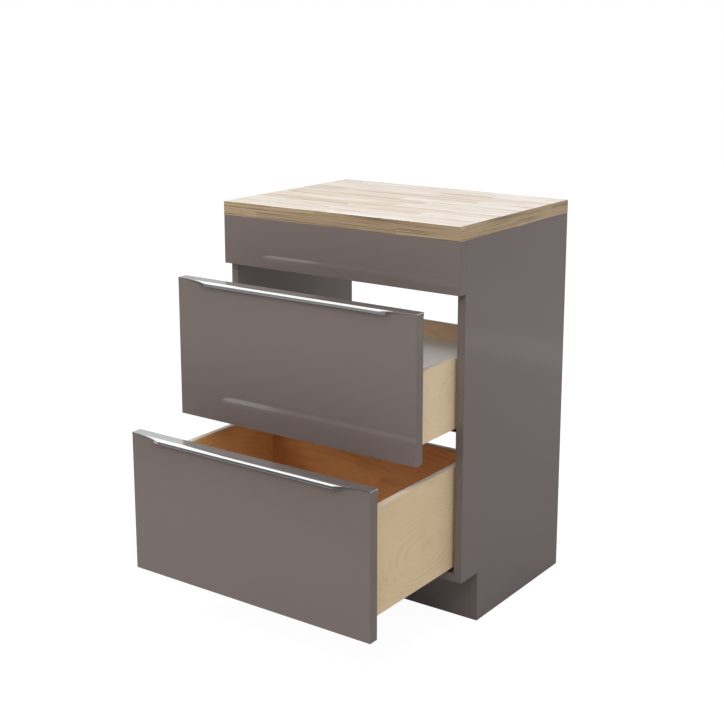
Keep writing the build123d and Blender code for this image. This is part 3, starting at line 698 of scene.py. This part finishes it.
def clear_bumper(settings):
    """Cast polyurethane dot: clear and soft, so it is glassy with a slight haze."""
    haze_size = 0.004
    material, tree = blank("cast_clear_polyurethane")
    place = add(tree, "TexCoord").outputs["Object"]
    haze = add(
        tree, "TexNoise",
        {"Vector": place, "Scale": 1 / haze_size, "Detail": 1.0}).outputs["Fac"]
    gloss = add(tree, "MapRange", {"Value": haze, "To Min": 0.12, "To Max": 0.25}).outputs[0]
    polyurethane = add(tree, "BsdfPrincipled", {
        "Base Color": settings.bumper,
        "Roughness": gloss,
        "IOR": 1.5,
        "Transmission Weight": 0.85,
    })
    add(tree, "OutputMaterial", {"Surface": polyurethane.outputs["BSDF"]})
    return material


def beech_dowel(settings):
    """Turned beech: pinkish brown with short dark flecks along the dowel."""
    fleck_size = (0.006, 0.0008, 0.0008)
    material, tree = blank("turned_beech")
    place = add(tree, "TexCoord").outputs["Object"]
    drawn = add(tree, "Mapping", {"Vector": place, "Scale": per_metre(fleck_size)}).outputs[0]
    flecks = add(tree, "TexNoise", {"Vector": drawn, "Scale": 1.0, "Detail": 2.0}).outputs["Fac"]
    fleck = add(tree, "MapRange", {"Value": flecks, "From Min": 0.55, "From Max": 0.7}).outputs[0]
    tone = add(
        tree, "Mix", {SHARE: fleck, COLOUR_A: settings.beech, COLOUR_B: settings.beech_fleck},
        data_type="RGBA").outputs[COLOUR]
    beech = add(tree, "BsdfPrincipled", {"Base Color": tone, "Roughness": 0.55, "IOR": 1.48})
    add(tree, "OutputMaterial", {"Surface": beech.outputs["BSDF"]})
    return material


def separate_solids(node):
    """Lowest and highest corner of each separate solid in a CAD node."""
    solid = bmesh.new()
    solid.from_mesh(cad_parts[node].data)
    bmesh.ops.remove_doubles(solid, verts=solid.verts[:], dist=WELD)
    waiting = set(solid.verts)
    boxes = []
    while waiting:
        island = [waiting.pop()]
        for vertex in island:
            for edge in vertex.link_edges:
                other = edge.other_vert(vertex)
                if other in waiting:
                    waiting.remove(other)
                    island.append(other)
        lowest = Vector([min(v.co[i] for v in island) for i in range(3)])
        highest = Vector([max(v.co[i] for v in island) for i in range(3)])
        boxes.append((lowest, highest))
    solid.free()
    return sorted(boxes, key=lambda pair: tuple(round(c, 5) for c in pair[0]))


def add_screw(mesh, seat, direction, turn, screw, length):
    """Adds one pan-head screw with a cross recess to the mesh."""
    start = len(mesh.verts)
    head_radius, head, shank_radius = screw
    arm = CROSS_ARM * head_radius
    slot = CROSS_WIDTH * head_radius
    stops = (-head_radius, -arm, -slot, slot, arm, head_radius)
    segments = len(stops) - 1
    made = bmesh.ops.create_grid(
        mesh, x_segments=segments, y_segments=segments, size=1.0)["verts"]
    for vertex in made:
        column = round((vertex.co.x + 1.0) * segments / 2)
        line = round((vertex.co.y + 1.0) * segments / 2)
        vertex.co = Vector((stops[column], stops[line], 0.0))
    faces = list(dict.fromkeys(face for vertex in made for face in vertex.link_faces))
    cross = []
    for face in faces:
        middle = face.calc_center_median()
        across = abs(middle.x) < slot and abs(middle.y) < arm
        upright = abs(middle.y) < slot and abs(middle.x) < arm
        if across or upright:
            cross.append(face)
    rim = [edge for face in faces for edge in face.edges if edge.is_boundary]
    rim_verts = {vertex for edge in rim for vertex in edge.verts}
    for vertex in rim_verts:
        bearing = math.atan2(vertex.co.y, vertex.co.x)
        bearing = (round(bearing / RIM_STEP - 0.5) + 0.5) * RIM_STEP
        outwards = Vector((math.cos(bearing), math.sin(bearing), 0.0))
        vertex.co = outwards * head_radius * CROWN_RADIUS
    sunk = bmesh.ops.extrude_face_region(mesh, geom=cross)["geom"]
    sunk_verts = [item for item in sunk if isinstance(item, bmesh.types.BMVert)]
    bmesh.ops.delete(mesh, geom=cross, context="FACES")
    bmesh.ops.translate(mesh, verts=sunk_verts, vec=(0.0, 0.0, -CROSS_DEPTH * head))
    bmesh.ops.scale(mesh, verts=sunk_verts, vec=(CROSS_TAPER, CROSS_TAPER, 1.0))
    rings = (
        (head_radius * SHOULDER_RADIUS, -SHOULDER_DROP * head),
        (head_radius, -BRIM_DROP * head),
        (head_radius, -head),
        (shank_radius, -head),
        (shank_radius, -head - length + 2 * shank_radius),
        (shank_radius * TIP_RADIUS, -head - length),
    )
    edges = rim
    for radius, drop in rings:
        out = bmesh.ops.extrude_edge_only(mesh, edges=edges)["geom"]
        edges = [item for item in out if isinstance(item, bmesh.types.BMEdge) and item.is_boundary]
        for vertex in {vertex for edge in edges for vertex in edge.verts}:
            flat = vertex.co.xy.normalized() * radius
            vertex.co = Vector((flat.x, flat.y, drop))
    bmesh.ops.contextual_create(mesh, geom=edges)
    mesh.verts.ensure_lookup_table()
    whole = mesh.verts[start:]
    turned = Matrix.Rotation(turn, 4, "Z")
    aimed = (-direction).to_track_quat("Z", "Y").to_matrix().to_4x4()
    placed = Matrix.Translation(seat - direction * head)
    bmesh.ops.transform(mesh, matrix=placed @ aimed @ turned, verts=whole)


def screw_group(node, body, toward, screw, material):
    """Stands a group of detailed screws in the place of a CAD node of plain ones."""
    head = screw.head_height
    mesh = bmesh.new()
    for count, (lowest, highest) in enumerate(separate_solids(node)):
        size = highest - lowest
        axis = max(range(3), key=lambda i: size[i])
        middle = (lowest + highest) / 2
        direction = Vector((0.0, 0.0, 0.0))
        direction[axis] = toward[axis] or math.copysign(1.0, middle[axis])
        seat = middle.copy()
        outer = lowest[axis] if direction[axis] > 0 else highest[axis]
        seat[axis] = outer + direction[axis] * head
        turn = math.radians(SCREW_TURN * count)
        add_screw(mesh, seat, direction, turn, screw, size[axis] - head)
    bmesh.ops.recalc_face_normals(mesh, faces=mesh.faces[:])
    data = bpy.data.meshes.new(node + "_detail")
    mesh.to_mesh(data)
    mesh.free()
    screws = bpy.data.objects.new(node + "_detail", data)
    bpy.context.scene.collection.objects.link(screws)
    data.materials.append(material)
    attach(screws, body)
    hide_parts(node)


class VANITY_OT_worktop(bpy.types.Operator):
    """Finish the worktop as an oiled stave board."""

    bl_idname = "vanity.worktop"
    bl_label = "Finish worktop"

    def execute(self, context):
        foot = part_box("worktop")[0].z
        dress(["worktop"], stave_board(context.scene.vanity_worktop, foot))
        return {"FINISHED"}


class VANITY_OT_boards(bpy.types.Operator):
    """Lacquer the fronts, sides and fascia, and face the boards inside."""

    bl_idname = "vanity.boards"
    bl_label = "Finish carcass boards"

    def execute(self, context):
        settings = context.scene.vanity_lacquer
        dress(GLOSS_BOARDS, gloss_lacquer(settings))
        dress(CARCASS_BOARDS, satin_melamine(settings))
        return {"FINISHED"}


class VANITY_OT_drawer_boxes(bpy.types.Operator):
    """Finish the maple walls and the grey floors of the drawer boxes."""

    bl_idname = "vanity.drawer_boxes"
    bl_label = "Finish drawer boxes"

    def execute(self, context):
        settings = context.scene.vanity_drawer_boards
        # The upper drawer's paler maple is painted light
        pale = (settings.pale_maple_painted_light, settings.pale_maple_figure_painted_light)
        maple = (settings.maple, settings.maple_figure)
        # The inside colours are painted shade: browner, warmer tones for the dim bounce light
        # inside the boxes
        upper_painted_shade_woods = (settings.upper_inside_painted_shade, settings.upper_inside_figure_painted_shade)
        walls = (settings.inside_wall_painted_shade, settings.inside_wall_figure_painted_shade)
        lower_end_painted_shade_woods = (settings.inside, settings.inside_figure_painted_shade)
        woods = {"upper_drawer": (pale, upper_painted_shade_woods, upper_painted_shade_woods), "lower_drawer": (maple, walls, lower_end_painted_shade_woods)}
        for drawer in DRAWERS:
            lowest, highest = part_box(drawer + "_left_wall")
            middle = Vector((0.0, (lowest.y + highest.y) / 2, (lowest.z + highest.z) / 2))
            side_pith = (lowest.y + WALL_PITH[0], lowest.z + WALL_PITH[1], WALL_PITH[2])
            end_pith = (END_PITH[0], lowest.z + END_PITH[1], END_PITH[2])
            outside, wall_painted_shade_woods, end_painted_shade_woods = woods[drawer]
            sides = maple_board(
                settings, drawer + "_maple_lengthways", GRAIN_Y, middle, side_pith, WALL_RUN,
                outside, wall_painted_shade_woods)
            ends = maple_board(
                settings, drawer + "_maple_crossways", GRAIN_X, middle, end_pith, END_RUN,
                outside, end_painted_shade_woods)
            dress([drawer + "_left_wall", drawer + "_right_wall"], sides)
            dress([drawer + "_back", drawer + "_inner_front"], ends)
        # The battens under the upper drawer are of the lower drawer's maple
        dress(["upper_drawer_battens"], sides)
        floors = [drawer + "_floor" for drawer in DRAWERS]
        dress(floors, grey_laminate(settings))
        return {"FINISHED"}


class VANITY_OT_pulls(bpy.types.Operator):
    """Finish the pulls as polished aluminium."""

    bl_idname = "vanity.pulls"
    bl_label = "Finish pulls"

    def execute(self, context):
        pulls = [drawer + "_pull" for drawer in DRAWERS]
        dress(pulls, polished_aluminium(context.scene.vanity_metal))
        return {"FINISHED"}


class VANITY_OT_runners(bpy.types.Operator):
    """Finish the runner members, rollers, catches and bumpers."""

    bl_idname = "vanity.runners"
    bl_label = "Finish runners"

    def execute(self, context):
        metal = context.scene.vanity_metal
        small = context.scene.vanity_small_parts
        members = [
            f"{drawer}_{side}_runner_{member}"
            for drawer in DRAWERS for side in RUNNER_SIDES for member in RUNNER_MEMBERS
        ]
        zinc = zinc_steel(
            "rolled_dark_zinc_steel", metal.dark_zinc, spangle=metal.spangle_size, rough=0.42)
        dress(members, zinc)
        nylon = black_nylon(small)
        dress([drawer + "_runner_rollers" for drawer in DRAWERS], nylon)
        dress([drawer + "_catches" for drawer in DRAWERS], nylon)
        dress([drawer + "_bumpers" for drawer in DRAWERS], clear_bumper(small))
        return {"FINISHED"}


class VANITY_OT_fixings(bpy.types.Operator):
    """Finish the cams, bolts, brackets and dowels, and model the screws with their cross recess."""

    bl_idname = "vanity.fixings"
    bl_label = "Finish fixings"

    def execute(self, context):
        metal = context.scene.vanity_metal
        zinc = zinc_steel(
            "plated_bright_zinc_steel", metal.bright_zinc, spangle=0.006, rough=0.26)
        dress(FITTINGS, zinc)
        dowels = ["carcass_dowels"] + [drawer + "_dowels" for drawer in DRAWERS]
        dress(dowels, beech_dowel(context.scene.vanity_small_parts))
        groups = [
            ("fascia_screws", "cabinet", TOWARDS_ROOM, PLAIN_SCREW),
            ("worktop_bracket_screws", "cabinet", UP_OR_OUT, PLAIN_SCREW),
        ]
        for drawer in DRAWERS:
            groups += [
                (drawer + "_front_screws", drawer, TOWARDS_ROOM, PLAIN_SCREW),
                (drawer + "_pull_screws", drawer, TOWARDS_ROOM, SMALL_SCREW),
                (drawer + "_runner_screws", "cabinet", UP_OR_OUT, FLAT_SCREW),
            ]
        for node, body, toward, screw in groups:
            screw_group(node, body, toward, screw, zinc)
        return {"FINISHED"}


class VANITY_OT_studio(bpy.types.Operator):
    """Lay the white floor, hang the soft lamps and place the camera."""

    bl_idname = "vanity.studio"
    bl_label = "Set up studio"

    def execute(self, context):
        settings = context.scene.vanity_studio
        self.light_world(settings)
        self.lay_floor(settings)
        self.hang_lamps()
        self.place_camera(context, settings)
        context.scene.view_settings.view_transform = "Standard"
        return {"FINISHED"}

    def light_world(self, settings):
        """White to the camera, even light to the object and a plain room to mirrors."""
        # Mirrors see a grey wall low down and a bright ceiling
        wall_top, ceiling_foot = 0.25, 0.55
        wall_glow, ceiling_glow = 0.5, 1.3
        world = bpy.data.worlds.new("white_studio")
        world.use_nodes = True
        tree = world.node_tree
        tree.nodes.clear()
        rays = add(tree, "LightPath").outputs
        mirrored = add(
            tree, "Math", {0: rays["Is Glossy Ray"], 1: rays["Is Transmission Ray"]},
            operation="MAXIMUM").outputs[0]
        seen = add(
            tree, "Math", {0: rays["Is Camera Ray"], 1: mirrored}, operation="MAXIMUM").outputs[0]
        height = add(tree, "SeparateXYZ", {0: add(tree, "TexCoord").outputs["Object"]}).outputs[2]
        room = add(
            tree, "MapRange", {
                "Value": height, "From Min": wall_top, "From Max": ceiling_foot,
                "To Min": wall_glow, "To Max": ceiling_glow},
            interpolation_type="SMOOTHSTEP").outputs[0]
        shown = add(
            tree, "Mix", {SHARE: rays["Is Camera Ray"], VALUE_A: room, VALUE_B: 1.0},
            data_type="FLOAT").outputs[VALUE]
        strength = add(
            tree, "Mix", {SHARE: seen, VALUE_A: settings.ambient, VALUE_B: shown},
            data_type="FLOAT").outputs[VALUE]
        sky = add(tree, "Background", {"Color": settings.white, "Strength": strength})
        add(tree, "OutputWorld", {"Surface": sky.outputs[0]})
        bpy.context.scene.world = world

    def lay_floor(self, settings):
        """A floor that is white to the camera, keeps the shadow, and is greyer to mirrors."""
        half_width, squares = 8.0, 8
        # To the camera a faint shadow shows near the unit, and pure white further out
        shadow_reach, white_reach, shadow_white = 0.6, 1.4, 0.9
        # Mirrors see the floor darken in front of the unit, and less so further out
        dark_from, dark_to = -0.8, -1.3
        ease_from, ease_to, eased_dark = -1.35, -2.1, 0.4
        # Behind the unit they see it brighten, with a paler stripe across it, which shows as a
        # soft level band in the right side panel
        bright_from, bright_to, bright_share = 0.8, 3.0, 0.36
        stripe_place, stripe_edge, stripe_core, stripe_share = 2.08, 0.26, 0.06, 0.2
        mesh = bmesh.new()
        bmesh.ops.create_grid(mesh, x_segments=squares, y_segments=squares, size=half_width)
        data = bpy.data.meshes.new("studio_floor")
        mesh.to_mesh(data)
        mesh.free()
        floor = bpy.data.objects.new("studio_floor", data)
        bpy.context.scene.collection.objects.link(floor)
        material, tree = blank("white_floor")
        place = add(tree, "TexCoord").outputs["Object"]
        reach = add(tree, "VectorMath", {0: place}, operation="LENGTH").outputs["Value"]
        ahead = add(tree, "SeparateXYZ", {0: place}).outputs[1]
        aside = add(tree, "Math", {0: ahead, 1: stripe_place}, operation="SUBTRACT").outputs[0]
        off = add(tree, "Math", {0: aside}, operation="ABSOLUTE").outputs[0]
        far, distant, behind, stripe = (
            add(
                tree, "MapRange", {
                    "Value": value, "From Min": start, "From Max": end,
                    "To Min": first, "To Max": last},
                interpolation_type="SMOOTHSTEP").outputs[0]
            for value, start, end, first, last in (
                (reach, shadow_reach, white_reach, shadow_white, 1.0),
                (ahead, ease_from, ease_to, 1.0, eased_dark),
                (ahead, bright_from, bright_to, 0.0, bright_share),
                (off, stripe_edge, stripe_core, 0.0, stripe_share)))
        beyond = add(
            tree, "MapRange",
            {"Value": ahead, "From Min": dark_from, "From Max": dark_to, "To Max": distant},
            interpolation_type="SMOOTHSTEP").outputs[0]
        rays = add(tree, "LightPath").outputs
        image = add(
            tree, "Mix",
            {SHARE: beyond, COLOUR_A: settings.mirror_floor, COLOUR_B: settings.room_floor},
            data_type="RGBA").outputs[COLOUR]
        ground = add(
            tree, "Mix",
            {SHARE: rays["Is Glossy Ray"], COLOUR_A: settings.floor_paint, COLOUR_B: image},
            data_type="RGBA").outputs[COLOUR]
        lit = add(tree, "Math", {0: behind, 1: stripe}, operation="ADD").outputs[0]
        mirrored = add(
            tree, "Math", {0: lit, 1: rays["Is Glossy Ray"]}, operation="MULTIPLY").outputs[0]
        share = add(
            tree, "Mix", {SHARE: rays["Is Camera Ray"], VALUE_A: mirrored, VALUE_B: far},
            data_type="FLOAT").outputs[VALUE]
        paint = add(tree, "BsdfDiffuse", {"Color": ground})
        glow = add(tree, "Emission", {"Color": settings.white, "Strength": 1.06})
        mixed = add(tree, "MixShader", {0: share, 1: paint.outputs[0], 2: glow.outputs[0]})
        add(tree, "OutputMaterial", {"Surface": mixed.outputs[0]})
        data.materials.append(material)

    def hang_lamps(self):
        """Soft square lamps round the unit, each turned to the point that it lights."""
        for lamp in LAMPS:
            light = bpy.data.lights.new(lamp.name, "AREA")
            light.shape = "SQUARE"
            light.size = lamp.width
            light.energy = lamp.power
            holder = bpy.data.objects.new(lamp.name, light)
            holder.location = lamp.place
            beam = Vector(lamp.aim) - Vector(lamp.place)
            holder.rotation_euler = beam.to_track_quat("-Z", "Y").to_euler()
            holder.visible_glossy = lamp.mirrored
            bpy.context.scene.collection.objects.link(holder)

    def place_camera(self, context, settings):
        """The camera that looks at the unit from its front right."""
        lens = bpy.data.cameras.new("photo_camera")
        lens.lens = settings.lens
        lens.sensor_width = 36.0
        lens.shift_y = settings.lens_shift
        camera = bpy.data.objects.new("photo_camera", lens)
        camera.location = settings.camera_place
        camera.rotation_euler = (math.pi / 2 - settings.camera_tilt, 0.0, settings.camera_turn)
        context.scene.collection.objects.link(camera)
        context.scene.camera = camera


STEPS = (
    VANITY_OT_worktop,
    VANITY_OT_boards,
    VANITY_OT_drawer_boxes,
    VANITY_OT_pulls,
    VANITY_OT_runners,
    VANITY_OT_fixings,
    VANITY_OT_studio,
)
SETTINGS = {
    "vanity_worktop": VANITY_PG_worktop,
    "vanity_lacquer": VANITY_PG_lacquer,
    "vanity_drawer_boards": VANITY_PG_drawer_boards,
    "vanity_metal": VANITY_PG_metal,
    "vanity_small_parts": VANITY_PG_small_parts,
    "vanity_studio": VANITY_PG_studio,
}


class VANITY_PT_panel(bpy.types.Panel):
    """Lists the steps that finish the vanity unit."""

    bl_idname = "VANITY_PT_panel"
    bl_label = "Vanity unit"
    bl_space_type = "VIEW_3D"
    bl_region_type = "UI"
    bl_category = "Vanity"

    def draw(self, context):
        for step in STEPS:
            self.layout.operator(step.bl_idname)


def register():
    """Registers the settings, the steps and the panel."""
    for name, group in SETTINGS.items():
        bpy.utils.register_class(group)
        setattr(bpy.types.Scene, name, bpy.props.PointerProperty(type=group))
    for step in STEPS:
        bpy.utils.register_class(step)
    bpy.utils.register_class(VANITY_PT_panel)


def unregister():
    """Takes the panel, the steps and the settings away again."""
    bpy.utils.unregister_class(VANITY_PT_panel)
    for step in reversed(STEPS):
        bpy.utils.unregister_class(step)
    for name, group in SETTINGS.items():
        delattr(bpy.types.Scene, name)
        bpy.utils.unregister_class(group)


def main():
    """Runs every step in order."""
    register()
    bpy.ops.vanity.worktop()
    bpy.ops.vanity.boards()
    bpy.ops.vanity.drawer_boxes()
    bpy.ops.vanity.pulls()
    bpy.ops.vanity.runners()
    bpy.ops.vanity.fixings()
    bpy.ops.vanity.studio()


if __name__ == "__main__":
    main()
